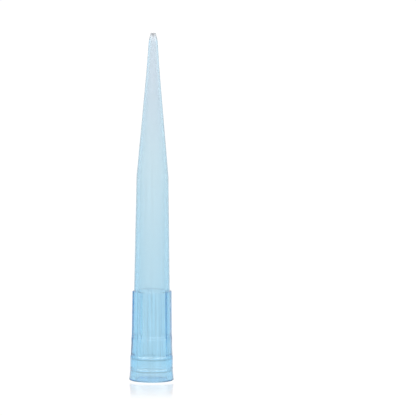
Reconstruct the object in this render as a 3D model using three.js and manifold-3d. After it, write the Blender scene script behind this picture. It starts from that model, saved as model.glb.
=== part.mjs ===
// Pipette tip for volumes up to 1000 microlitres, with a universal socket.
// It is one hollow moulding: a lip, a ribbed collar that the pipettor's nozzle enters, a barrel,
// a long cone that eases into a slimmer nose, and a bevelled point. Here it stands on its mouth with
// the point up.
// Millimetres, +Z up, origin at the centre of the mouth rim, which lies on the plane z = 0.

import * as THREE from 'three';
import { mergeVertices } from 'three/addons/utils/BufferGeometryUtils.js';
import Module from 'manifold-3d';

// Lengths along the axis.
const TIP_LENGTH = 71;
const LIP_HEIGHT = 2.45;
const BAND_HEIGHT = 2.45;
const FLARE_HEIGHT = 4.4;
const SOCKET_HEIGHT = 9;
const BARREL_HEIGHT = 23.5;
const NOSE_HEIGHT = 6.8;
const BEVEL_HEIGHT = 1.6;

// Outside diameters of the skin, and the steps in its radius that the ledge and the shoulder make.
const RIM_DIAMETER = 9.07;
const BAND_DIAMETER = 8.66;
const LEDGE_STEP = 0.13;
const FLARE_TOP_DIAMETER = 7.86;
const SHOULDER_STEP = 0.2;
const BARREL_FOOT_DIAMETER = 7.26;
const BARREL_TOP_DIAMETER = 6.5;
const NOSE_FOOT_DIAMETER = 2.78;
const BEVEL_FOOT_DIAMETER = 1.78;

// Wall thickness, from the mouth to the point, and the hole that the liquid passes.
const RIM_WALL = 1.05;
const BAND_WALL = 1.13;
const FLARE_FOOT_WALL = 1.2;
const FLARE_TOP_WALL = 1.12;
const BARREL_FOOT_WALL = 0.86;
const BARREL_TOP_WALL = 0.58;
const NOSE_FOOT_WALL = 0.42;
const BEVEL_FOOT_WALL = 0.38;
const POINT_WALL = 0.12;
const ORIFICE_DIAMETER = 0.76;

// Small edges.
const RIM_OUTER_CHAMFER = 0.1;
const RIM_INNER_CHAMFER = 0.06;
const LEDGE_SLOPE_HEIGHT = 0.28;

// A low bead parts the lip from the band: a gentle rise, and a steeper slope above its crest.
const BEAD_RISE = 0.06;
const BEAD_RUN = 0.35;
const BEAD_SLOPE_HEIGHT = 0.17;

// Fine ledges at the top of the flare, where inserts of the mould meet. From their foot the skin
// stands straight up, and the ledges together take back what that adds.
const FINE_LEDGE_COUNT = 2;
const FINE_LEDGE_PITCH = 0.6;
const FINE_LEDGE_SLOPE = 0.12;
const FINE_FOOT_BELOW_FLARE_TOP = 1.8;

// Upright ribs around the collar, from the ledge to the shoulder.
const RIB_COUNT = 8;
const RIB_WIDTH = 0.6;
const RIB_FOOT_RISE = 0.04;
const RIB_BEND_RISE = 0.13;
const RIB_HEAD_RISE = 0.155;
const RIB_HEAD_CHAMFER = 0.1;
const RIB_ROOT_DEPTH = 0.3;

const TURN_SEGMENTS = 64;
const FULL_TURN = 2 * Math.PI;

// Levels on the axis, worked out from the lengths.
const BEAD_Z = LIP_HEIGHT;
const LEDGE_Z = BEAD_Z + BAND_HEIGHT;
const FLARE_TOP_Z = LEDGE_Z + FLARE_HEIGHT;
const SHOULDER_Z = FLARE_TOP_Z + SOCKET_HEIGHT;
const BARREL_TOP_Z = SHOULDER_Z + BARREL_HEIGHT;
const BEVEL_FOOT_Z = TIP_LENGTH - BEVEL_HEIGHT;
const NOSE_FOOT_Z = BEVEL_FOOT_Z - NOSE_HEIGHT;

// A station is one corner of the section: its distance from the axis and its level.
const station = (radius, z) => new THREE.Vector2(radius, z);

// Radii of the skin that more than one feature is tied to.
const RIM_RADIUS = RIM_DIAMETER / 2;
const BAND_RADIUS = BAND_DIAMETER / 2;
const FLARE_FOOT_RADIUS = BAND_RADIUS - LEDGE_STEP;
const FLARE_TOP_RADIUS = FLARE_TOP_DIAMETER / 2;
const BARREL_FOOT_RADIUS = BARREL_FOOT_DIAMETER / 2;
const SHOULDER_RADIUS = BARREL_FOOT_RADIUS + SHOULDER_STEP;
const BARREL_TOP_RADIUS = BARREL_TOP_DIAMETER / 2;
const NOSE_FOOT_RADIUS = NOSE_FOOT_DIAMETER / 2;
const BEVEL_FOOT_RADIUS = BEVEL_FOOT_DIAMETER / 2;
const ORIFICE_RADIUS = ORIFICE_DIAMETER / 2;

// The stations of the fine ledges. The last slope ends on the station that tops the flare.
function fineLedges() {
  const flareFootZ = LEDGE_Z + LEDGE_SLOPE_HEIGHT;
  const leanPerLength = (FLARE_FOOT_RADIUS - FLARE_TOP_RADIUS) / (FLARE_TOP_Z - flareFootZ);
  const added = FINE_FOOT_BELOW_FLARE_TOP * leanPerLength;
  const fineStep = added / FINE_LEDGE_COUNT;
  const lastEdgeZ = FLARE_TOP_Z - FINE_LEDGE_SLOPE;
  const stations = [station(FLARE_TOP_RADIUS + added, FLARE_TOP_Z - FINE_FOOT_BELOW_FLARE_TOP)];
  for (let left = FINE_LEDGE_COUNT; left > 0; left -= 1) {
    const edgeZ = lastEdgeZ - (left - 1) * FINE_LEDGE_PITCH;
    stations.push(station(FLARE_TOP_RADIUS + left * fineStep, edgeZ));
    if (left > 1) {
      stations.push(station(FLARE_TOP_RADIUS + (left - 1) * fineStep, edgeZ + FINE_LEDGE_SLOPE));
    }
  }
  return stations;
}

function outerSkin() {
  return [
    station(RIM_RADIUS - RIM_OUTER_CHAMFER, 0),
    station(RIM_RADIUS, RIM_OUTER_CHAMFER),
    station(BAND_RADIUS, BEAD_Z - BEAD_RUN),
    station(BAND_RADIUS + BEAD_RISE, BEAD_Z),
    station(BAND_RADIUS, BEAD_Z + BEAD_SLOPE_HEIGHT),
    station(BAND_RADIUS, LEDGE_Z),
    station(FLARE_FOOT_RADIUS, LEDGE_Z + LEDGE_SLOPE_HEIGHT),
    ...fineLedges(),
    station(FLARE_TOP_RADIUS, FLARE_TOP_Z),
    station(SHOULDER_RADIUS, SHOULDER_Z),
    station(BARREL_FOOT_RADIUS, SHOULDER_Z),
    station(BARREL_TOP_RADIUS, BARREL_TOP_Z),
    station(NOSE_FOOT_RADIUS, NOSE_FOOT_Z),
    station(BEVEL_FOOT_RADIUS, BEVEL_FOOT_Z),
    station(ORIFICE_RADIUS + POINT_WALL, TIP_LENGTH),
  ];
}

// The bore, from the point back to the mouth.
function bore() {
  const rimBore = RIM_RADIUS - RIM_WALL;
  return [
    station(ORIFICE_RADIUS, TIP_LENGTH),
    station(BEVEL_FOOT_RADIUS - BEVEL_FOOT_WALL, BEVEL_FOOT_Z),
    station(NOSE_FOOT_RADIUS - NOSE_FOOT_WALL, NOSE_FOOT_Z),
    station(BARREL_TOP_RADIUS - BARREL_TOP_WALL, BARREL_TOP_Z),
    station(BARREL_FOOT_RADIUS - BARREL_FOOT_WALL, SHOULDER_Z),
    station(FLARE_TOP_RADIUS - FLARE_TOP_WALL, FLARE_TOP_Z),
    station(FLARE_FOOT_RADIUS - FLARE_FOOT_WALL, LEDGE_Z),
    station(BAND_RADIUS - BAND_WALL, BEAD_Z),
    station(rimBore, RIM_INNER_CHAMFER),
    station(rimBore + RIM_INNER_CHAMFER, 0),
  ];
}

// A closed geometry becomes a solid that can be joined to others, and back.
const wasm = await Module();
wasm.setup();

function toSolid(geometry) {
  const bare = geometry.clone();
  bare.deleteAttribute('normal');
  bare.deleteAttribute('uv');
  const merged = mergeVertices(bare);
  const vertProperties = new Float32Array(merged.attributes.position.array);
  const triVerts = new Uint32Array(merged.index.array);
  return new wasm.Manifold(new wasm.Mesh({ numProp: 3, vertProperties, triVerts }));
}

function toGeometry(solid) {
  const mesh = solid.getMesh();
  const geometry = new THREE.BufferGeometry();
  geometry.setAttribute('position', new THREE.BufferAttribute(mesh.vertProperties, 3));
  geometry.setIndex(new THREE.BufferAttribute(mesh.triVerts, 1));
  geometry.computeVertexNormals();
  return geometry;
}

// The tube turns the closed section once around the axis.
function tubeSolid() {
  const section = [...outerSkin(), ...bore()];
  section.push(section[0].clone());
  const turned = new THREE.LatheGeometry(section, TURN_SEGMENTS);
  turned.rotateX(Math.PI / 2);
  return toSolid(turned);
}

// One rib seen from the side: its root lies in the wall, its crest follows the skin, and its
// head is level with the shoulder and slopes off at the outer corner.
function ribOutline() {
  const footZ = LEDGE_Z - LEDGE_SLOPE_HEIGHT;
  const headCrest = SHOULDER_RADIUS + RIB_HEAD_RISE;
  return new THREE.Shape([
    station(FLARE_FOOT_RADIUS - RIB_ROOT_DEPTH, footZ),
    station(FLARE_FOOT_RADIUS + RIB_FOOT_RISE, footZ),
    station(FLARE_TOP_RADIUS + RIB_BEND_RISE, FLARE_TOP_Z),
    station(headCrest, SHOULDER_Z - RIB_HEAD_CHAMFER),
    station(headCrest - RIB_HEAD_CHAMFER, SHOULDER_Z),
    station(SHOULDER_RADIUS - RIB_ROOT_DEPTH, SHOULDER_Z),
    station(FLARE_TOP_RADIUS - RIB_ROOT_DEPTH, FLARE_TOP_Z),
  ]);
}

function ribSolid(turn) {
  const rib = new THREE.ExtrudeGeometry(ribOutline(), { depth: RIB_WIDTH, bevelEnabled: false });
  rib.rotateX(Math.PI / 2);
  rib.translate(0, RIB_WIDTH / 2, 0);
  rib.rotateZ(turn);
  return toSolid(rib);
}

function tipSolid() {
  let solid = tubeSolid();
  for (let i = 0; i < RIB_COUNT; i += 1) {
    solid = solid.add(ribSolid((i * FULL_TURN) / RIB_COUNT));
  }
  return solid;
}

const bluePolypropylene = new THREE.MeshStandardMaterial({
  color: 0xa8d3ea,
  roughness: 0.35,
  metalness: 0,
});

const tip = new THREE.Mesh(toGeometry(tipSolid()), bluePolypropylene);
tip.name = 'pipette_tip';

const part = new THREE.Group();
part.add(tip);

export default part;
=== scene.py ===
# %% [markdown]
# # A pipette tip, finished in Blender
#
# The object is a disposable tip for a one-millilitre pipettor: 71 mm of thin-walled blue
# polypropylene, injection moulded in one shot between a steel cavity and a long core pin. It stands
# on its wide mouth with the point up. Everything that you see is one wall between two skins, and you
# see it by the light that comes through it, so this lesson is about two things: a section drawn with
# care, and a material that colours light by how much plastic it crosses.
#
# The construction model is loaded first. It is the fixed frame: it gives the true size, and the finer
# mesh made here has to stand in exactly the same place.

# %% Load the frame
import math

import bpy
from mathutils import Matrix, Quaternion, Vector


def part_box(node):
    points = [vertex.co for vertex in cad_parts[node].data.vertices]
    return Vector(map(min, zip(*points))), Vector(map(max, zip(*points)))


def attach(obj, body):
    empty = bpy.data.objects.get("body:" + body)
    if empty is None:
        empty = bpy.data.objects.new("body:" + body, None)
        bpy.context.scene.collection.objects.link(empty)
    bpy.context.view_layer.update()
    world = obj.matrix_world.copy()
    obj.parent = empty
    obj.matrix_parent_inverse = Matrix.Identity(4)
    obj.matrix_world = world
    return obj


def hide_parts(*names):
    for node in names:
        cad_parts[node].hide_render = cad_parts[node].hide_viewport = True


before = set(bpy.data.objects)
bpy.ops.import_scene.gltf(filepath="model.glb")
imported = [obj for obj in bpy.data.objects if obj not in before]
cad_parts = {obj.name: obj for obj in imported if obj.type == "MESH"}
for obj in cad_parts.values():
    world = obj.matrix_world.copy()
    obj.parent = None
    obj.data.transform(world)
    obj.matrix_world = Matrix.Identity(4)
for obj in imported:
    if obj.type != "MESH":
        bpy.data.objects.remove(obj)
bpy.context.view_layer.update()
tip_low, tip_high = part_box("pipette_tip")
tip_length = tip_high[2] - tip_low[2]
rim_radius = (tip_high[0] - tip_low[0]) / 2
MM = 0.001
print(f"tip: {tip_length / MM:.2f} mm long, rim {2 * rim_radius / MM:.2f} mm across")

# %% [markdown]
# ## Camera
#
# A product picture of something this slender is taken from far away through a long lens, so that the
# mouth and the point are seen at nearly the same angle and the sides stay straight. The camera looks
# down by a few degrees: the rings around the mouth open into shallow curves. The picture's height at
# the tip's distance is chosen first, and the focal length follows from it.

# %% Camera
CAMERA_DISTANCE = 1.2
CAMERA_ELEVATION = math.radians(7.0)
CAMERA_TURN = math.radians(36.5)  # turned a little round the tip, so that near and far ribs part
CAMERA_ROLL = math.radians(0.36)
FIELD_WIDTH = 84.6 * MM
TIP_LEFT_OF_CENTRE = 11.32 * MM  # the tip stands left of the picture's middle
AIM_HEIGHT = 35.35 * MM

camera_back = Vector(
    (
        math.sin(CAMERA_TURN) * math.cos(CAMERA_ELEVATION),
        -math.cos(CAMERA_TURN) * math.cos(CAMERA_ELEVATION),
        math.sin(CAMERA_ELEVATION),
    )
)
camera_right = Vector((math.cos(CAMERA_TURN), math.sin(CAMERA_TURN), 0))
aim = Vector((0, 0, AIM_HEIGHT)) + camera_right * TIP_LEFT_OF_CENTRE
camera_data = bpy.data.cameras.new("picture_camera")
camera_data.sensor_width = 36
camera_data.lens = camera_data.sensor_width * CAMERA_DISTANCE / FIELD_WIDTH
camera_data.clip_start = CAMERA_DISTANCE / 10
camera_data.clip_end = CAMERA_DISTANCE * 10
camera = bpy.data.objects.new("picture_camera", camera_data)
bpy.context.scene.collection.objects.link(camera)
camera.location = aim + camera_back * CAMERA_DISTANCE
camera.rotation_mode = "QUATERNION"
look = (-camera_back).to_track_quat("-Z", "Y")
camera.rotation_quaternion = look @ Quaternion((0, 0, 1), CAMERA_ROLL)
bpy.context.scene.camera = camera
print(f"lens {camera_data.lens:.0f} mm at {CAMERA_DISTANCE} m")

# %% [markdown]
# ## The section
#
# A moulded tip is turned in the mind, even though it is never turned on a lathe: both steel halves of
# its mould are. So its shape is one closed outline in the half plane beside the axis. The outline is
# written as corners, each a distance from the axis, a level, and the radius that rounds it off. A
# helper swaps each corner for a short arc. That is better than a bevel on the finished mesh, because
# every edge of the real tip has its own rounding: crisp at the ledge, soft inside the mouth.
#
# From the mouth up, the skin has a lip, a low bead, a band, a ledge where it steps in, the flare, and
# the long socket that ends in the shoulder; then the barrel, the cone that eases into the nose, and
# the bevelled point. The bore has no steps: it only ever narrows upwards, or the core pin of the
# mould couldn't be pulled out of it.

# %% Corners of the section, in millimetres
RIM_RADIUS = rim_radius / MM
TIP_LENGTH = tip_length / MM
BEVEL_HEIGHT = 1.6
BEAD_Z = 2.45
BEAD_RUN = 0.35
BEAD_SLOPE_HEIGHT = 0.17
LEDGE_Z = 4.9
LEDGE_SLOPE_HEIGHT = 0.28
FLARE_TOP_Z = 9.3
SHOULDER_Z = 18.3
BARREL_TOP_Z = 41.8
NOSE_FOOT_Z = 62.6
BEVEL_FOOT_Z = TIP_LENGTH - BEVEL_HEIGHT

BAND_RADIUS = 4.33
BEAD_RISE = 0.06
LEDGE_STEP = 0.13
SHOULDER_STEP = 0.2
FLARE_FOOT_RADIUS = BAND_RADIUS - LEDGE_STEP
FLARE_TOP_RADIUS = 3.93
BARREL_FOOT_RADIUS = 3.63
SHOULDER_RADIUS = BARREL_FOOT_RADIUS + SHOULDER_STEP
BARREL_TOP_RADIUS = 3.25
NOSE_FOOT_RADIUS = 1.39
BEVEL_FOOT_RADIUS = 0.89
ORIFICE_RADIUS = 0.38

RIM_WALL = 1.05
BAND_WALL = 1.13
FLARE_FOOT_WALL = 1.2
FLARE_TOP_WALL = 1.12
BARREL_FOOT_WALL = 0.86
BARREL_TOP_WALL = 0.58
NOSE_FOOT_WALL = 0.42
BEVEL_FOOT_WALL = 0.38
POINT_WALL = 0.12
RIM_INNER_CHAMFER = 0.06
RIM_OUTER_CHAMFER = 0.1

# Each corner is its distance from the axis, its level and its rounding.
skin_corners = [
    (RIM_RADIUS - RIM_OUTER_CHAMFER, 0, 0.06),
    (RIM_RADIUS, RIM_OUTER_CHAMFER, 0.06),
    (BAND_RADIUS, BEAD_Z - BEAD_RUN, 0.3),
    (BAND_RADIUS + BEAD_RISE, BEAD_Z, 0.04),
    (BAND_RADIUS, BEAD_Z + BEAD_SLOPE_HEIGHT, 0.05),
    (BAND_RADIUS, LEDGE_Z, 0.04),
    (FLARE_FOOT_RADIUS, LEDGE_Z + LEDGE_SLOPE_HEIGHT, 0.05),
    (FLARE_TOP_RADIUS, FLARE_TOP_Z, 0.03),
    (SHOULDER_RADIUS, SHOULDER_Z, 0.07),
    (BARREL_FOOT_RADIUS, SHOULDER_Z, 0.06),
    (BARREL_TOP_RADIUS, BARREL_TOP_Z, 6.0),
    (NOSE_FOOT_RADIUS, NOSE_FOOT_Z, 20.0),
    (BEVEL_FOOT_RADIUS, BEVEL_FOOT_Z, 0.5),
    (ORIFICE_RADIUS + POINT_WALL, TIP_LENGTH, 0.04),
]
bore_corners = [
    (ORIFICE_RADIUS, TIP_LENGTH, 0.04),
    (BEVEL_FOOT_RADIUS - BEVEL_FOOT_WALL, BEVEL_FOOT_Z, 0.5),
    (NOSE_FOOT_RADIUS - NOSE_FOOT_WALL, NOSE_FOOT_Z, 20.0),
    (BARREL_TOP_RADIUS - BARREL_TOP_WALL, BARREL_TOP_Z, 6.0),
    (BARREL_FOOT_RADIUS - BARREL_FOOT_WALL, SHOULDER_Z, 1.5),
    (FLARE_TOP_RADIUS - FLARE_TOP_WALL, FLARE_TOP_Z, 0.3),
    (FLARE_FOOT_RADIUS - FLARE_FOOT_WALL, LEDGE_Z, 1.0),
    (BAND_RADIUS - BAND_WALL, BEAD_Z, 1.0),
    (RIM_RADIUS - RIM_WALL, RIM_INNER_CHAMFER, 0.04),
    (RIM_RADIUS - RIM_WALL + RIM_INNER_CHAMFER, 0, 0.04),
]
print(len(skin_corners), "corners on the skin,", len(bore_corners), "in the bore")


# %% [markdown]
# At the top of the flare the skin steps in twice more, by hardly anything: these are the witness lines
# where the inserts of the mould meet. From their foot the skin stands straight up instead of leaning
# in, and the two fine ledges take back what that adds.

# %% Fine ledges
FINE_FOOT_Z = 7.5
FINE_LEDGE_LEVELS = (8.58, 9.18)
FINE_LEDGE_SLOPE = 0.12


def radius_at(corners, level):
    """Distance from the axis where a line of corners crosses a level."""
    for (r0, z0, _), (r1, z1, _) in zip(corners, corners[1:]):
        if min(z0, z1) <= level <= max(z0, z1) and z0 != z1:
            return r0 + (r1 - r0) * (level - z0) / (z1 - z0)
    raise ValueError(f"no corner around level {level}")


standing = radius_at(skin_corners, FINE_FOOT_Z)
fine_step = (standing - FLARE_TOP_RADIUS) / len(FINE_LEDGE_LEVELS)
fine_ledges = [(standing, FINE_FOOT_Z, 1.0)]
for level in FINE_LEDGE_LEVELS:
    fine_ledges.append((standing, level, 0.02))
    standing -= fine_step
    fine_ledges.append((standing, level + FINE_LEDGE_SLOPE, 0.03))
fine_ledges.pop()  # the last slope ends on the corner that tops the flare
skin_corners = sorted(skin_corners + fine_ledges, key=lambda corner: corner[1])
print(f"fine ledges step in by {fine_step:.3f} mm")
section_corners = skin_corners + bore_corners
print(len(section_corners), "corners in the section")


# %% [markdown]
# Light bends at every surface of a clear part, and it bends by the surface's normal. A long face that
# shares its normals with a tiny arc would bend light wrongly over its whole length. So each arc gets a
# support point just beyond either end, and long stretches are divided, which keeps the straight parts
# optically straight.

# %% Rounding the corners
ARC_STEPS = 4
SUPPORT = 0.03  # how far beyond an arc's end its support point lies
LONGEST_STRETCH = 2.0
LARGEST_REACH = 0.45  # the share of a side that one arc may take


def rounded(before, corner, after):
    """The points that swap one corner for an arc tangent to both of its sides."""
    here = Vector(corner[:2])
    to_before = Vector(before[:2]) - here
    to_after = Vector(after[:2]) - here
    opening = to_before.angle(to_after)
    reach = corner[2] / math.tan(opening / 2)
    reach = min(reach, LARGEST_REACH * to_before.length, LARGEST_REACH * to_after.length)
    radius = reach * math.tan(opening / 2)
    bisector = (to_before.normalized() + to_after.normalized()).normalized()
    centre = here + bisector * (radius / math.sin(opening / 2))
    start = here + to_before.normalized() * reach - centre
    turn = start.angle_signed(here + to_after.normalized() * reach - centre)
    arc = []
    for step in range(ARC_STEPS + 1):
        spin = -turn * step / ARC_STEPS
        x = start.x * math.cos(spin) - start.y * math.sin(spin)
        y = start.x * math.sin(spin) + start.y * math.cos(spin)
        arc.append(centre + Vector((x, y)))
    return arc


def divided(start, end):
    """Points strictly between two ends: a support point near each, and even steps between them."""
    length = (end - start).length
    if length < 3 * SUPPORT:
        return []
    steps = max(1, math.ceil(length / LONGEST_STRETCH))
    shares = {SUPPORT / length, 1 - SUPPORT / length}
    shares.update(step / steps for step in range(1, steps))
    return [start.lerp(end, share) for share in sorted(shares)]


section = []
count = len(section_corners)
arcs = [
    rounded(section_corners[i - 1], section_corners[i], section_corners[(i + 1) % count])
    for i in range(count)
]
for i in range(count):
    stretch = divided(arcs[i][-1], arcs[(i + 1) % count][0])
    section += arcs[i] + stretch
print(len(section), "points round the section")

# %% [markdown]
# ## Ribs
#
# The collar carries upright ribs that stiffen it where the nozzle pushes it open and that stop it
# sticking in a rack. They stand on the skin only, from the ledge to the shoulder, and they are
# highest at the shoulder. That is a rule along the section, so every point of the section is told how
# far a rib would lift it.

# %% How far a rib lifts each point of the section, in millimetres
RIB_FOOT_RISE = 0.04
RIB_BEND_RISE = 0.13
RIB_HEAD_RISE = 0.155
RIB_HEAD_HEIGHT = 0.2
LEVEL_TOLERANCE = 0.001


def rib_rise(point):
    """The rib's height over one point of the section, and nothing away from the collar's skin."""
    radius, level = point
    if level > SHOULDER_Z + LEVEL_TOLERANCE or level < LEDGE_Z or radius < BARREL_FOOT_RADIUS:
        return 0
    if level < LEDGE_Z + LEDGE_SLOPE_HEIGHT:
        return RIB_FOOT_RISE * (level - LEDGE_Z) / LEDGE_SLOPE_HEIGHT
    if level < FLARE_TOP_Z:
        share = (level - LEDGE_Z) / (FLARE_TOP_Z - LEDGE_Z)
        return RIB_FOOT_RISE + (RIB_BEND_RISE - RIB_FOOT_RISE) * share
    share = (level - FLARE_TOP_Z) / (SHOULDER_Z - FLARE_TOP_Z)
    rise = RIB_BEND_RISE + (RIB_HEAD_RISE - RIB_BEND_RISE) * share
    if level > SHOULDER_Z - RIB_HEAD_HEIGHT:
        # On the shoulder's flat face the lift fades towards the barrel, which the rib doesn't touch.
        across_shoulder = (radius - BARREL_FOOT_RADIUS) / SHOULDER_STEP
        rise *= min(1, max(0, across_shoulder))
    return rise


section_mesh = bpy.data.meshes.new("section")
section_mesh.from_pydata(
    [(p.x * MM, 0, p.y * MM) for p in section],
    [(i, (i + 1) % len(section)) for i in range(len(section))],
    [],
)
rise_attribute = section_mesh.attributes.new("rib_rise", "FLOAT", "POINT")
rise_attribute.data.foreach_set("value", [rib_rise(p) * MM for p in section])
tip = bpy.data.objects.new("tip_moulding", section_mesh)
bpy.context.scene.collection.objects.link(tip)
print(f"ribs stand up to {max(rib_rise(p) for p in section):.3f} mm off the skin")

# %% [markdown]
# ## Turning the section with Geometry Nodes
#
# A Screw modifier could turn the outline, but it would leave the ribs to be cut and joined, and a
# boolean on curved glass shows as creases. A Geometry Nodes tree does both at once. It lays out a grid
# with one row for each point of the section and one column for each meridian, moves every point to its
# place on the turn, and pushes it out where a rib stands. The meridians aren't evenly spaced: they
# crowd together at the ribs, where the surface changes, and spread out between them.


# %% Small helpers for node trees
def add(tree, kind, inputs=None, **settings):
    """A node with its settings and inputs; an input is a number, a vector or another node's socket."""
    node = tree.nodes.new(kind)
    for name, value in settings.items():
        setattr(node, name, value)
    for key, value in (inputs or {}).items():
        if isinstance(value, bpy.types.NodeSocket):
            tree.links.new(value, node.inputs[key])
        else:
            node.inputs[key].default_value = value
    return node


def maths(tree, operation, first, second):
    """The output of one Math node; an operation that takes one number ignores the second."""
    return add(tree, "ShaderNodeMath", {0: first, 1: second}, operation=operation).outputs[0]


def ramp(tree, value, start, end, first, last):
    """A number that goes smoothly from first to last while a value goes from start to end."""
    return add(
        tree,
        "ShaderNodeMapRange",
        {"Value": value, "From Min": start, "From Max": end, "To Min": first, "To Max": last},
        interpolation_type="SMOOTHSTEP",
    ).outputs[0]


# %% [markdown]
# The grid is like the paper that a shape is folded from. Each of its points works out from its own
# number which column and which row it is in: the column is its meridian, the row its point of the
# section. There is one row and one column more than needed. They come to lie on the first ones, which
# is how the paper is closed in the end.

# %% A grid with a column for each meridian
RIB_COUNT = 8
MERIDIANS_PER_RIB = 48


def lay_out_grid(tree, given):
    """The grid, and for each of its points the number of its meridian and of its section point."""
    rows = add(
        tree, "GeometryNodeAttributeDomainSize", {"Geometry": given["Section"]}, component="MESH"
    ).outputs["Point Count"]
    meridians = maths(tree, "MULTIPLY", given["Rib Count"], given["Meridians Per Rib"])
    grid_rows = maths(tree, "ADD", rows, 1)
    grid = add(
        tree,
        "GeometryNodeMeshGrid",
        {"Vertices X": maths(tree, "ADD", meridians, 1), "Vertices Y": grid_rows},
    ).outputs["Mesh"]
    index = tree.nodes.new("GeometryNodeInputIndex").outputs[0]
    meridian = maths(tree, "FLOOR", maths(tree, "DIVIDE", index, grid_rows), 0)
    row = maths(tree, "MODULO", maths(tree, "MODULO", index, grid_rows), rows)
    return grid, meridian, row


def section_point(tree, section_geometry, row):
    """The coordinates of one of the section's points."""
    here = tree.nodes.new("GeometryNodeInputPosition").outputs[0]
    place = add(
        tree,
        "GeometryNodeSampleIndex",
        {"Geometry": section_geometry, "Value": here, "Index": row},
        data_type="FLOAT_VECTOR",
    )
    return add(tree, "ShaderNodeSeparateXYZ", {0: place.outputs[0]}).outputs


def section_value(tree, section_geometry, name, row):
    """A number that the section stores under a name, looked up for one of its points."""
    stored = add(tree, "GeometryNodeInputNamedAttribute", {"Name": name}, data_type="FLOAT")
    return add(
        tree,
        "GeometryNodeSampleIndex",
        {"Geometry": section_geometry, "Value": stored.outputs["Attribute"], "Index": row},
        data_type="FLOAT",
    ).outputs[0]


print(RIB_COUNT * MERIDIANS_PER_RIB, "meridians round the tip")

# %% [markdown]
# A meridian's place between two ribs goes through a cubic curve, which is flat at the ribs: meridians
# that were evenly spaced then stand close together there. A rib has its full height over its width
# and falls away along its flanks. The width is measured along the arc, so a rib keeps it from the
# ledge to the shoulder, while the collar gets slimmer.

# %% Where each meridian stands, and how much of a rib it meets
RIB_WIDTH = 0.6 * MM
RIB_FLANK = 0.18 * MM
CROWDING = 0.3  # spacing of the meridians at a rib, as a share of even spacing


def crowded_meridian(tree, given, meridian):
    """A meridian's angle round the axis, and the angle between it and the nearest rib."""
    pitches = maths(tree, "DIVIDE", meridian, given["Meridians Per Rib"])
    nearest = maths(tree, "ROUND", pitches, 0)
    away = maths(tree, "SUBTRACT", pitches, nearest)
    cubed = maths(tree, "MULTIPLY", maths(tree, "POWER", away, 3), 4)
    spread = maths(tree, "SUBTRACT", 1, given["Crowding"])
    crowded = maths(
        tree,
        "ADD",
        maths(tree, "MULTIPLY", given["Crowding"], away),
        maths(tree, "MULTIPLY", spread, cubed),
    )
    pitch_angle = maths(tree, "DIVIDE", math.tau, given["Rib Count"])
    angle = maths(tree, "MULTIPLY", maths(tree, "ADD", nearest, crowded), pitch_angle)
    from_rib = maths(tree, "ABSOLUTE", maths(tree, "MULTIPLY", crowded, pitch_angle), 0)
    return angle, from_rib


def rib_share(tree, given, from_rib, radius):
    """One over a rib's width, falling to nothing at the end of its flank."""
    arc = maths(tree, "MULTIPLY", from_rib, radius)
    half_width = maths(tree, "DIVIDE", given["Rib Width"], 2)
    flank_end = maths(tree, "ADD", half_width, given["Rib Flank"])
    return ramp(tree, arc, half_width, flank_end, 1, 0)


# %% [markdown]
# Now the tree itself. Its inputs have names, so the same tree could turn another section, or raise
# another number of ribs. It also sets the material, because the mesh that it makes starts without one.

# %% The tree that turns a section and raises ribs on it
MERGE_DISTANCE = 0.0005 * MM


def build_turning_tree():
    tree = bpy.data.node_groups.new("turn_a_ribbed_section", "GeometryNodeTree")
    face = tree.interface
    face.new_socket("Section", in_out="INPUT", socket_type="NodeSocketGeometry")
    for name, kind in (
        ("Rib Count", "NodeSocketInt"),
        ("Meridians Per Rib", "NodeSocketInt"),
        ("Rib Width", "NodeSocketFloat"),
        ("Rib Flank", "NodeSocketFloat"),
        ("Crowding", "NodeSocketFloat"),
        ("Plastic", "NodeSocketMaterial"),
    ):
        face.new_socket(name, in_out="INPUT", socket_type=kind)
    face.new_socket("Moulding", in_out="OUTPUT", socket_type="NodeSocketGeometry")
    given = tree.nodes.new("NodeGroupInput").outputs

    # Each grid point moves to its place on the turn, pushed out where a rib stands.
    grid, meridian, row = lay_out_grid(tree, given)
    point = section_point(tree, given["Section"], row)
    rise = section_value(tree, given["Section"], "rib_rise", row)
    angle, from_rib = crowded_meridian(tree, given, meridian)
    on_rib = rib_share(tree, given, from_rib, point["X"])
    radius = maths(tree, "ADD", point["X"], maths(tree, "MULTIPLY", rise, on_rib))
    turned = add(
        tree,
        "ShaderNodeCombineXYZ",
        {
            "X": maths(tree, "MULTIPLY", radius, maths(tree, "COSINE", angle, 0)),
            "Y": maths(tree, "MULTIPLY", radius, maths(tree, "SINE", angle, 0)),
            "Z": point["Z"],
        },
    )
    placed = add(
        tree, "GeometryNodeSetPosition", {"Geometry": grid, "Position": turned.outputs[0]}
    )

    # Merging the doubled row and column closes the mesh.
    closed = add(
        tree,
        "GeometryNodeMergeByDistance",
        {"Geometry": placed.outputs[0], "Distance": MERGE_DISTANCE},
    )
    smooth = add(tree, "GeometryNodeSetShadeSmooth", {"Geometry": closed.outputs[0]})
    real = add(tree, "GeometryNodeRealizeInstances", {"Geometry": smooth.outputs[0]})
    coloured = add(
        tree,
        "GeometryNodeSetMaterial",
        {"Geometry": real.outputs[0], "Material": given["Plastic"]},
    )
    out = tree.nodes.new("NodeGroupOutput")
    tree.links.new(coloured.outputs[0], out.inputs["Moulding"])
    return tree


turning_tree = build_turning_tree()
print(len(turning_tree.nodes), "nodes turn the section")

# %% [markdown]
# ## Blue polypropylene
#
# The colour isn't on the surface: it is in the plastic, a little in every tenth of a millimetre. The
# collar looks deeper blue than the cone only because its wall is thicker. So the surface is nearly
# colourless clear plastic with a satin finish, and a Volume Absorption node takes out red, some green
# and hardly any blue along the way that light travels inside the wall. What varies on the surface
# varies by its place on the tip, and the next cells make it one thing at a time.
#
# Draw lines run up the wall, where the moulding slid along the polished steel. They could be carved
# into the mesh, but they are a few thousandths of a millimetre deep. A noise that is stretched along
# the axis draws them: it changes fast round the tip and slowly up it.

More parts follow.
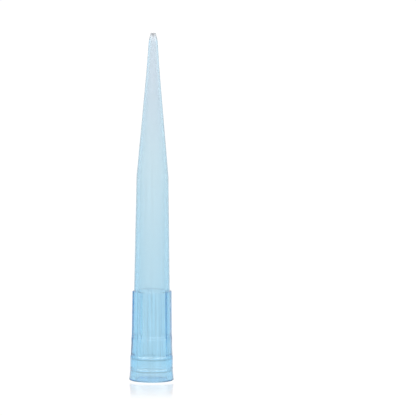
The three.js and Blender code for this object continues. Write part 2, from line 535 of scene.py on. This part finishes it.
# %% Draw lines
DRAW_LINES_ROUND = 22.0
DRAW_LINES_ALONG = 60.0
DRAW_LINES_PICK = 300.0  # which stretch of the noise is used


def draw_line_noise(tree, flat, level):
    """Noise that depends on the direction from the axis, and only slowly on the level."""
    round_axis = add(tree, "ShaderNodeVectorMath", {0: flat}, operation="NORMALIZE")
    spread = add(
        tree,
        "ShaderNodeVectorMath",
        {0: round_axis.outputs[0], "Scale": DRAW_LINES_ROUND},
        operation="SCALE",
    )
    along = maths(tree, "MULTIPLY", level, DRAW_LINES_ALONG)
    height = add(
        tree, "ShaderNodeCombineXYZ", {"Z": maths(tree, "ADD", along, DRAW_LINES_PICK)}
    )
    line_place = add(
        tree,
        "ShaderNodeVectorMath",
        {0: spread.outputs[0], 1: height.outputs[0]},
        operation="ADD",
    )
    return add(
        tree,
        "ShaderNodeTexNoise",
        {"Vector": line_place.outputs[0], "Scale": 1.0, "Detail": 2.0},
    ).outputs[0]


# %% [markdown]
# The lines also make the faces a little clearer or duller. That shows most on the collar, where the
# steel has the ribs cut into it, less below the ledge, hardly on the barrel and least on the nose.

# %% How strong the draw lines are
COLLAR_DRAW_LINES = 0.8
BARREL_DRAW_LINES = 0.12
DRAW_LINES_FADE = 0.5 * MM  # how far on either side of the shoulder they change strength
SHARE_BELOW_LEDGE = 0.6
LEDGE_FADE = 0.2 * MM
SHARE_ON_NOSE = 0.3


def draw_line_strength(tree, level, nose):
    """How much the draw lines change the clearness of the faces at a level."""
    collar_end = SHOULDER_Z * MM - DRAW_LINES_FADE
    barrel_start = SHOULDER_Z * MM + DRAW_LINES_FADE
    strength = ramp(
        tree, level, collar_end, barrel_start, COLLAR_DRAW_LINES, BARREL_DRAW_LINES
    )
    ledge = LEDGE_Z * MM
    above_ledge = ramp(tree, level, ledge - LEDGE_FADE, ledge + LEDGE_FADE, SHARE_BELOW_LEDGE, 1)
    before_nose = ramp(tree, nose, 0, 1, 1, SHARE_ON_NOSE)
    share = maths(tree, "MULTIPLY", above_ledge, before_nose)
    return maths(tree, "MULTIPLY", strength, share)


# %% [markdown]
# Painted shade darkens the faces in thin lines where the plastic would bend light away or where shade
# falls:
# a thin painted shade line under the bead, one under the ledge and a fainter one on the lip, then
# painted contact shade along the edge of the rim and painted shade on the wall of the small hole at the
# point. The lines are on the skin only. A test of the distance from the axis keeps them off the bore.

# %% Painted shade lines and edges
# places and widths of the painted shade lines, and of the painted shade at the rim and in the hole at
# the point
SHADE_LINE_BELOW = 0.4 * MM
LIP_SHADE_LINE_Z = 0.95 * MM
LIP_SHADE_LINE_SHARE = 0.35
SHADE_LINE_CORE = 0.05 * MM
SHADE_LINE_EDGE = 0.2 * MM
BORE_LIMIT = 3.5 * MM  # nearer the axis than this is the bore, which gets no painted shade lines
RIM_PAINTED_SHADE = 0.7
RIM_CORE = 0.08 * MM
RIM_EDGE = 0.25 * MM
ORIFICE_LIMIT = 0.45 * MM  # nearer the axis than this is the hole at the point
ORIFICE_CORE = 0.3 * MM
ORIFICE_EDGE = 0.9 * MM


def painted_shade_ring(tree, level, centre):
    """Painted shade: one within the core of a ring round the axis at a level, falling to nothing at its
    edge.
    """
    away = maths(tree, "ABSOLUTE", maths(tree, "SUBTRACT", level, centre), 0)
    return ramp(tree, away, SHADE_LINE_CORE, SHADE_LINE_EDGE, 1, 0)


def painted_shade_share(tree, flat, level):
    """How much painted shade the surface gets, from nothing on the faces to one in the middle of a
    line.
    """
    from_axis = add(tree, "ShaderNodeVectorMath", {0: flat}, operation="LENGTH").outputs["Value"]
    on_skin = maths(tree, "GREATER_THAN", from_axis, BORE_LIMIT)
    # painted shade lines: under the bead, under the ledge, and a fainter one on the lip
    bead_shade_line = painted_shade_ring(tree, level, BEAD_Z * MM - SHADE_LINE_BELOW)
    ledge_shade_line = painted_shade_ring(tree, level, LEDGE_Z * MM - SHADE_LINE_BELOW)
    lip_shade_line = maths(tree, "MULTIPLY", painted_shade_ring(tree, level, LIP_SHADE_LINE_Z), LIP_SHADE_LINE_SHARE)
    upper_shade_lines = maths(tree, "MAXIMUM", bead_shade_line, ledge_shade_line)
    shade_lines = maths(tree, "MULTIPLY", maths(tree, "MAXIMUM", upper_shade_lines, lip_shade_line), on_skin)
    # painted contact shade along the edge of the rim
    rim_painted_shade = ramp(tree, level, RIM_CORE, RIM_EDGE, RIM_PAINTED_SHADE, 0)
    # painted shade on the wall of the small hole at the point
    end = TIP_LENGTH * MM
    near_end = ramp(tree, level, end - ORIFICE_EDGE, end - ORIFICE_CORE, 0, 1)
    in_orifice = maths(tree, "LESS_THAN", from_axis, ORIFICE_LIMIT)
    orifice_painted_shade = maths(tree, "MULTIPLY", near_end, in_orifice)
    return maths(tree, "MAXIMUM", shade_lines, maths(tree, "MAXIMUM", rim_painted_shade, orifice_painted_shade))


# %% [markdown]
# All of this ends in one number: how clear a face is, darkened where the painted shade lines and edges
# lie. It goes into red, green and blue alike, because the colour comes from inside; only the slim nose,
# which is a little hazier, has a faint violet cast.
# The satin finish is a roughness that varies slightly from spot to spot.

# %% Surface colour and finish
CLEAR = 0.905
CLEAR_AT_NOSE = 0.89
CAST_AT_NOSE = (1.0, 0.982, 1.0, 1)
# how clear a face is in the middle of a painted shade line
PAINTED_SHADE_CLEARNESS = 0.5
SATIN = (0.14, 0.20)
SATIN_SPOTS = 900.0
SPOT_RANGE = (0.3, 0.7)  # most of the noise lies between these


def face_tint(tree, clearness_and_painted_shade, nose):
    """The same number for red, green and blue, times the violet cast of the nose."""
    grey = add(tree, "ShaderNodeCombineColor", {0: clearness_and_painted_shade, 1: clearness_and_painted_shade, 2: clearness_and_painted_shade})
    cast = add(
        tree,
        "ShaderNodeMix",
        {0: nose, 6: (1, 1, 1, 1), 7: CAST_AT_NOSE},
        data_type="RGBA",
    )
    return add(
        tree,
        "ShaderNodeMix",
        {0: 1.0, 6: grey.outputs[0], 7: cast.outputs[2]},
        data_type="RGBA",
        blend_type="MULTIPLY",
    ).outputs[2]


def satin_finish(tree, place):
    """A roughness that varies between two values from spot to spot."""
    spots = add(tree, "ShaderNodeTexNoise", {"Vector": place, "Scale": SATIN_SPOTS, "Detail": 3.0})
    return ramp(tree, spots.outputs[0], *SPOT_RANGE, *SATIN)


# %% [markdown]
# The plastic puts these together. For each metre of plastic, the absorption's strength in a colour is
# the density times what that colour's number falls short of one, and the light that is left falls off
# exponentially. So the way to choose both is to ask how much a wall of one millimetre should take.

# %% The plastic
POLYPROPYLENE_IOR = 1.49
ABSORPTION_COLOUR = (0.51, 0.85, 0.99, 1)
ABSORPTION_DENSITY = 700.0  # for each metre
DRAW_LINE_DEPTH = 0.004 * MM


def make_polypropylene():
    material = bpy.data.materials.new("blue_polypropylene")
    material.use_nodes = True
    tree = material.node_tree
    tree.nodes.clear()
    place = tree.nodes.new("ShaderNodeTexCoord").outputs["Object"]
    level = add(tree, "ShaderNodeSeparateXYZ", {0: place}).outputs["Z"]
    flat = add(
        tree, "ShaderNodeVectorMath", {0: place, 1: (1, 1, 0)}, operation="MULTIPLY"
    ).outputs[0]
    nose = ramp(tree, level, BARREL_TOP_Z * MM, NOSE_FOOT_Z * MM, 0, 1)

    # How clear the faces are: less so towards the nose, a little more or less on a draw line, and
    # darkened by painted shade in the lines and edges.
    draw_lines = draw_line_noise(tree, flat, level)
    strength = draw_line_strength(tree, level, nose)
    swing = maths(tree, "MULTIPLY", maths(tree, "SUBTRACT", draw_lines, 0.5), strength)
    faces = maths(tree, "ADD", ramp(tree, nose, 0, 1, CLEAR, CLEAR_AT_NOSE), swing)
    # the painted shade lines and edges darken the faces here
    clearness_and_painted_shade = ramp(tree, painted_shade_share(tree, flat, level), 0, 1, faces, PAINTED_SHADE_CLEARNESS)

    # The draw lines stand out by a trace as well.
    lines = add(
        tree,
        "ShaderNodeBump",
        {"Strength": 1.0, "Distance": DRAW_LINE_DEPTH, "Height": draw_lines},
    )
    surface = add(
        tree,
        "ShaderNodeBsdfPrincipled",
        {
            "Base Color": face_tint(tree, clearness_and_painted_shade, nose),
            "Roughness": satin_finish(tree, place),
            "IOR": POLYPROPYLENE_IOR,
            "Transmission Weight": 1.0,
            "Normal": lines.outputs[0],
        },
    )
    inside = add(
        tree,
        "ShaderNodeVolumeAbsorption",
        {"Color": ABSORPTION_COLOUR, "Density": ABSORPTION_DENSITY},
    )
    out = tree.nodes.new("ShaderNodeOutputMaterial")
    tree.links.new(surface.outputs[0], out.inputs["Surface"])
    tree.links.new(inside.outputs[0], out.inputs["Volume"])
    return material


polypropylene = make_polypropylene()
for colour_name, share in zip(("red", "green", "blue"), ABSORPTION_COLOUR):
    taken = 1 - math.exp(-ABSORPTION_DENSITY * (1 - share) * MM)
    print(f"one millimetre of plastic takes out {taken:.1%} of the {colour_name}")

# %% [markdown]
# ## Making the mesh
#
# The tree runs as a modifier on the section. Its inputs are set by each socket's identifier, then the
# evaluated result becomes a plain mesh, and the modifier goes. The tip could keep its modifier, but a
# part that others use is easier to handle when nothing in it has to be worked out again.
#
# Absorption needs to know which side of each face is plastic, so the faces have to point outwards. The
# volume that the mesh encloses comes out negative if they don't.

# %% Turn the section into the moulding
turning = tip.modifiers.new("turning", "NODES")
turning.node_group = turning_tree
values = {
    "Rib Count": RIB_COUNT,
    "Meridians Per Rib": MERIDIANS_PER_RIB,
    "Rib Width": RIB_WIDTH,
    "Rib Flank": RIB_FLANK,
    "Crowding": CROWDING,
    "Plastic": polypropylene,
}
for item in turning_tree.interface.items_tree:
    if item.in_out == "INPUT" and item.name in values:
        turning[item.identifier] = values[item.name]
evaluated = tip.evaluated_get(bpy.context.evaluated_depsgraph_get())
moulding = bpy.data.meshes.new_from_object(evaluated)
tip.modifiers.clear()
tip.data = moulding
bpy.data.meshes.remove(section_mesh)
moulding.calc_loop_triangles()


def signed_volume(mesh):
    """The volume that a closed mesh encloses, negative if its faces point inwards."""
    total = 0
    for triangle in mesh.loop_triangles:
        a, b, c = (mesh.vertices[corner].co for corner in triangle.vertices)
        total += a.cross(b).dot(c)
    return total / 6


enclosed = signed_volume(moulding)
if enclosed < 0:
    moulding.flip_normals()
print(f"{len(moulding.loop_triangles)} triangles round {enclosed / MM**3:.1f} cubic millimetres")

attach(tip, "root")
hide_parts("pipette_tip")

# %% [markdown]
# ## Floor
#
# The tip stands on a sheet of opal acrylic that is lit from below, as on a light table: it glows
# evenly, so it throws no shadow and stays white from every side. A plain white floor would do for a
# solid object, but a clear one would show its grey shading through both walls.

# %% The sheet
FLOOR_HALF = 4.0
FLOOR_DROP = 0.18 * MM  # keeps the sheet's face apart from the rim's

floor_mesh = bpy.data.meshes.new("white_sheet")
floor_mesh.from_pydata(
    [
        (-FLOOR_HALF, -FLOOR_HALF, -FLOOR_DROP),
        (FLOOR_HALF, -FLOOR_HALF, -FLOOR_DROP),
        (FLOOR_HALF, FLOOR_HALF, -FLOOR_DROP),
        (-FLOOR_HALF, FLOOR_HALF, -FLOOR_DROP),
    ],
    [],
    [(0, 1, 2, 3)],
)
floor = bpy.data.objects.new("white_sheet", floor_mesh)
bpy.context.scene.collection.objects.link(floor)
print(f"sheet {2 * FLOOR_HALF:.0f} m wide, {FLOOR_DROP / MM:.2f} mm below the rim")

# %% [markdown]
# A sheet like this also mirrors the mouth at a low angle, by the share that Fresnel's law gives for
# acrylic. The polish fades outwards, so the mirrored tip fades out downwards, and it stops short of the
# rim, where standing objects have rubbed the sheet matt: a thin white gap parts the tip from its mirror
# image.
#
# Right under the mouth the glow is painted shade: for every ray but the camera's it is darker and blue,
# standing in for the light that reaches the sheet there only through the blue wall and goes back up
# into the plastic. The colours meet on a ring a little wider than the rim.

# %% Opal acrylic
ACRYLIC_IOR = 1.49
SHEET_GLOW = 1.04
# colour of the painted shade in the glow under the mouth
PAINTED_SHADE_UNDER_MOUTH = (0.47, 0.68, 0.86, 1)
UNDER_FROM = 4.6 * MM
UNDER_TO = 7.0 * MM
SHEET_GLOSS_TINT = (0.96, 0.9, 0.92, 1)
SHEET_ROUGHNESS = 0.08
MATT_TO = 5.0 * MM
GLOSS_FROM = 7.5 * MM
POLISH_FROM = 7 * MM
POLISH_TO = 30 * MM


def make_opal_acrylic():
    material = bpy.data.materials.new("opal_acrylic")
    material.use_nodes = True
    tree = material.node_tree
    tree.nodes.clear()
    place = tree.nodes.new("ShaderNodeTexCoord").outputs["Object"]
    distance = add(tree, "ShaderNodeVectorMath", {0: place}, operation="LENGTH").outputs["Value"]

    # The glow is painted darker and blue only under the mouth, as painted shade. Seen directly, the
    # sheet is white all over.
    ray = tree.nodes.new("ShaderNodeLightPath").outputs
    outside = ramp(tree, distance, UNDER_FROM, UNDER_TO, 0, 1)
    white = maths(tree, "MAXIMUM", outside, ray["Is Camera Ray"])
    colour = add(
        tree, "ShaderNodeMix", {0: white, 6: PAINTED_SHADE_UNDER_MOUTH, 7: (1, 1, 1, 1)}, data_type="RGBA"
    ).outputs[2]
    glow = add(tree, "ShaderNodeEmission", {"Color": colour, "Strength": SHEET_GLOW})

    # The mirror is matt under the rim, polished round it, and fades outwards.
    gloss = add(
        tree, "ShaderNodeBsdfGlossy", {"Color": SHEET_GLOSS_TINT, "Roughness": SHEET_ROUGHNESS}
    )
    inner = ramp(tree, distance, MATT_TO, GLOSS_FROM, 0, 1)
    outer = ramp(tree, distance, POLISH_FROM, POLISH_TO, 1, 0)
    polish = maths(tree, "MULTIPLY", inner, outer)
    fresnel = add(tree, "ShaderNodeFresnel", {"IOR": ACRYLIC_IOR}).outputs[0]
    share = maths(tree, "MULTIPLY", polish, fresnel)
    sheet = add(tree, "ShaderNodeMixShader", {0: share, 1: glow.outputs[0], 2: gloss.outputs[0]})
    out = tree.nodes.new("ShaderNodeOutputMaterial")
    tree.links.new(sheet.outputs[0], out.inputs["Surface"])
    return material


floor_mesh.materials.append(make_opal_acrylic())
print(f"the mirror fades out {POLISH_TO / MM:.0f} mm from the axis")

# %% [markdown]
# ## Light
#
# Round and over the sheet is a light tent, white and even: what shapes the picture is mostly how the
# plastic bends and colours the light that comes through it. One brighter softbox hangs high in front.
# The steep walls never mirror it towards the camera, but the slopes above the bead and on the ledges
# lean back just far enough, so each carries a bright line. Towards its sides the softbox hangs lower,
# because a slope that faces sideways mirrors a lower part of the tent; that makes the lines as wide
# as the tip.
#
# All of it is one world shader that looks only at a ray's direction. The softbox is the share of the
# sky that is both high enough and far enough to the front.

# %% World
TENT_LIGHT = 1.1
SOFTBOX_LIGHT = 6.0
SOFTBOX_LOW = 0.1
SOFTBOX_HIGH = 0.3
SOFTBOX_LIFT = 0.25  # how much higher it starts straight in front
SOFTBOX_BACK = -0.25
SOFTBOX_FRONT = 0.15

world = bpy.data.worlds.new("light_tent")
world.use_nodes = True
sky = world.node_tree
sky.nodes.clear()
direction = sky.nodes.new("ShaderNodeTexCoord").outputs["Generated"]
upwards = add(sky, "ShaderNodeSeparateXYZ", {0: direction}).outputs["Z"]
to_front = add(
    sky,
    "ShaderNodeVectorMath",
    {0: direction, 1: (math.sin(CAMERA_TURN), -math.cos(CAMERA_TURN), 0)},
    operation="DOT_PRODUCT",
).outputs["Value"]
lifted = maths(sky, "SUBTRACT", upwards, maths(sky, "MULTIPLY", to_front, SOFTBOX_LIFT))
high = ramp(sky, lifted, SOFTBOX_LOW, SOFTBOX_HIGH, 0, 1)
front = ramp(sky, to_front, SOFTBOX_BACK, SOFTBOX_FRONT, 0, 1)
box = maths(sky, "MULTIPLY", high, front)
tent = ramp(sky, box, 0, 1, TENT_LIGHT, SOFTBOX_LIGHT)
light = add(sky, "ShaderNodeBackground", {"Color": (1, 1, 1, 1), "Strength": tent})
sky_out = sky.nodes.new("ShaderNodeOutputWorld")
sky.links.new(light.outputs[0], sky_out.inputs["Surface"])
bpy.context.scene.world = world
bpy.context.scene.view_settings.view_transform = "Standard"
print(f"tent {TENT_LIGHT}, softbox {SOFTBOX_LIGHT}")

# Light crosses the wall many times before it leaves the moulding, so its path may be long.
LIGHT_BOUNCES = 24
bpy.context.scene.cycles.max_bounces = LIGHT_BOUNCES
bpy.context.scene.cycles.transmission_bounces = LIGHT_BOUNCES
